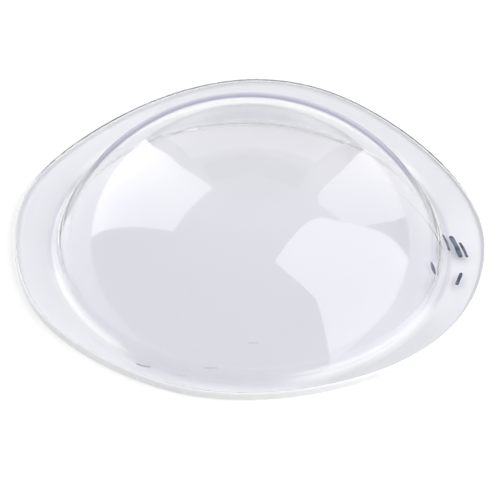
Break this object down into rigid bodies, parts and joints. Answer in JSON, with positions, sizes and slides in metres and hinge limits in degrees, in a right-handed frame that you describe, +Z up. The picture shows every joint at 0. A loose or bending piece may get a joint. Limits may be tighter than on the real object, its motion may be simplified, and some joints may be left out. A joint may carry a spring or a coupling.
{
  "type": "domed lens",
  "caption": "Clear domed lens: a thin smooth spherical cap that turns through a tight bend into a flat, hand-trimmed flange, narrow in front and wide behind, for resting on or clamping into a housing.",
  "frame": {"origin": "middle of the footprint, on the plane the flange's underside rests on", "axes": "+Z up along the dome's axis, out of the convex side; +Y towards the widest part of the flange, which is away from a viewer looking along +Y"},
  "size_m": [0.081, 0.0816, 0.0247],
  "materials": {
    "clear_lens": "clear, polished, water-white with a faint lavender cast"
  },
  "bodies": {
    "root": {"lens": "clear_lens"}
  },
  "joints": []
}
